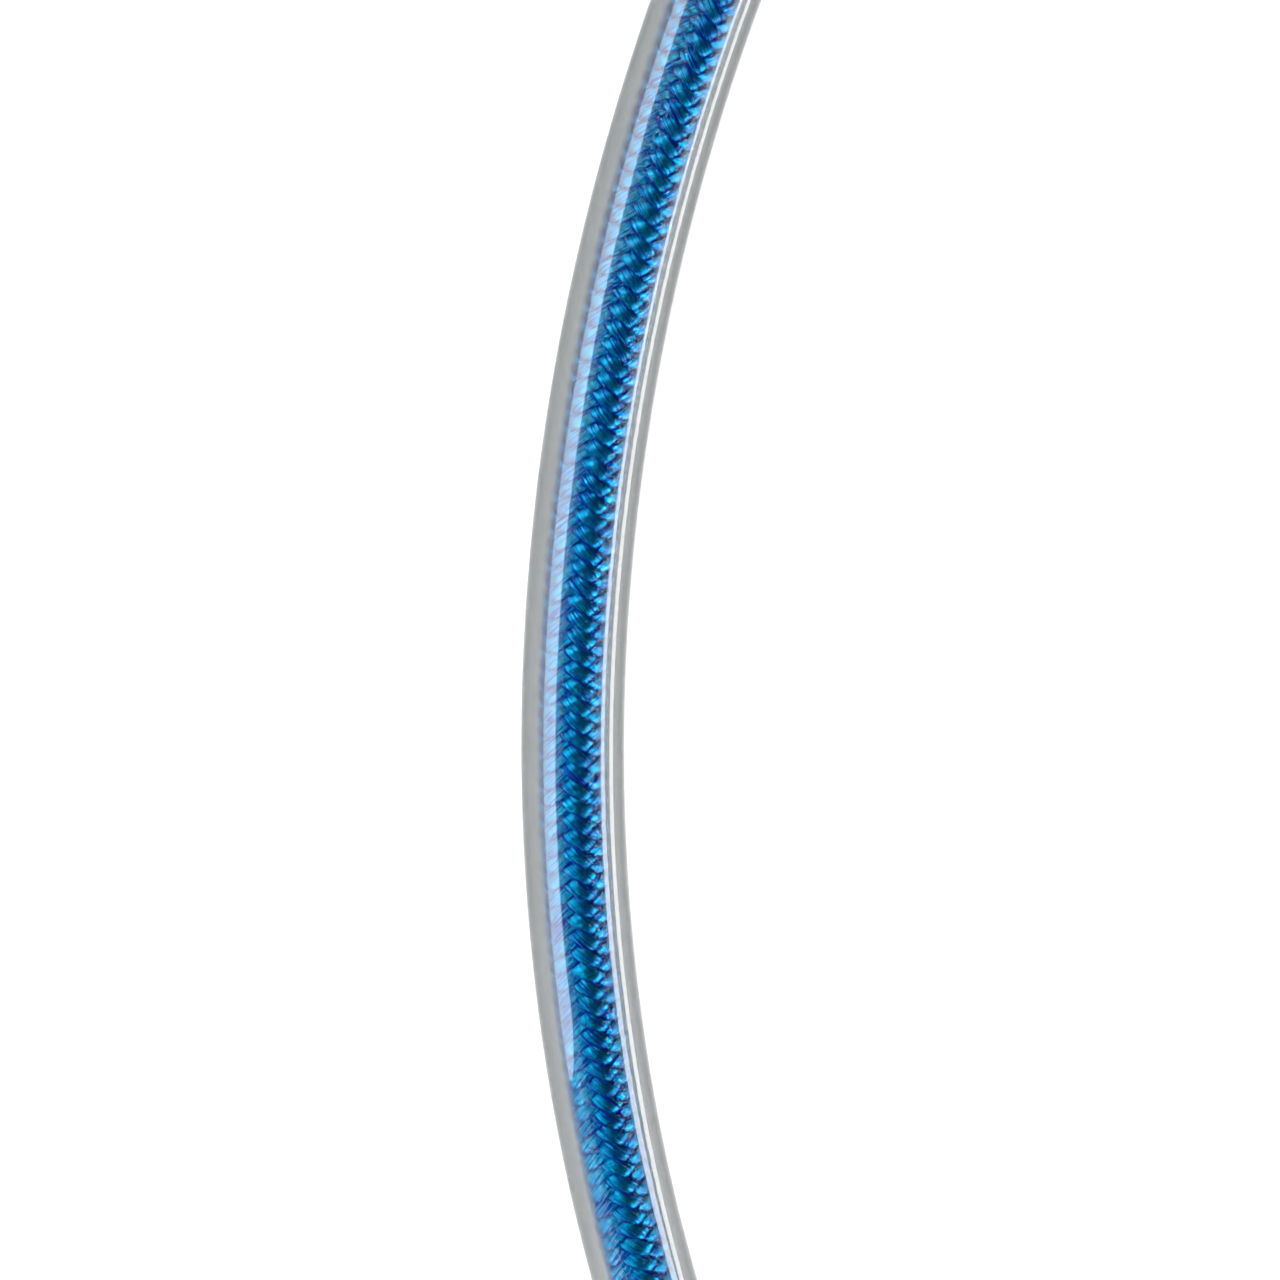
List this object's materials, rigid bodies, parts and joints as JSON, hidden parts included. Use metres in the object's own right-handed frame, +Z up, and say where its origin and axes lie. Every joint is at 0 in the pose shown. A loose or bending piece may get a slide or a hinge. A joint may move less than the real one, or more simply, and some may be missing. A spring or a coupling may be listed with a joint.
{
  "type": "dynamic climbing rope lanyard",
  "caption": "Short dynamic climbing rope with a braided sheath, lying in a bow inside a loose clear protective tube, with a sewn thimble eye at each end.",
  "frame": {"origin": "on the floor, in the middle of the lanyard's box", "axes": "+Y along the bow towards the upper eye, +X towards the open side of the bow, +Z up"},
  "size_m": [0.094, 0.4632, 0.016],
  "materials": {
    "clear_tube": "clear extruded PVC, glossy",
    "rope_sheath": "braided polyamide yarn with a soft sheen",
    "rope_core": "undyed twisted polyamide strands",
    "thimble": "moulded polyamide, satin",
    "seam_cover": "clear shrink sleeve"
  },
  "bodies": {
    "rope": {"rope_sheath": "rope_sheath", "core_strand_01": "rope_core", "core_strand_02": "rope_core", "core_strand_03": "rope_core", "core_strand_04": "rope_core", "core_strand_05": "rope_core", "core_strand_06": "rope_core", "core_strand_07": "rope_core", "core_strand_08": "rope_core", "core_strand_09": "rope_core", "core_strand_10": "rope_core", "core_strand_11": "rope_core", "core_strand_12": "rope_core", "thimble_upper": "thimble", "thimble_lower": "thimble", "seam_cover_upper": "seam_cover", "seam_cover_lower": "seam_cover"},
    "tube": {"protective_tube": "clear_tube"}
  },
  "joints": [
    {"name": "tube_slide", "type": "hinge", "parent": "rope", "child": "tube", "pos_m": [0.32599, 0, 0.008], "axis": [0, 0, 1], "range_deg": [-2.3, 2.3]}
  ]
}
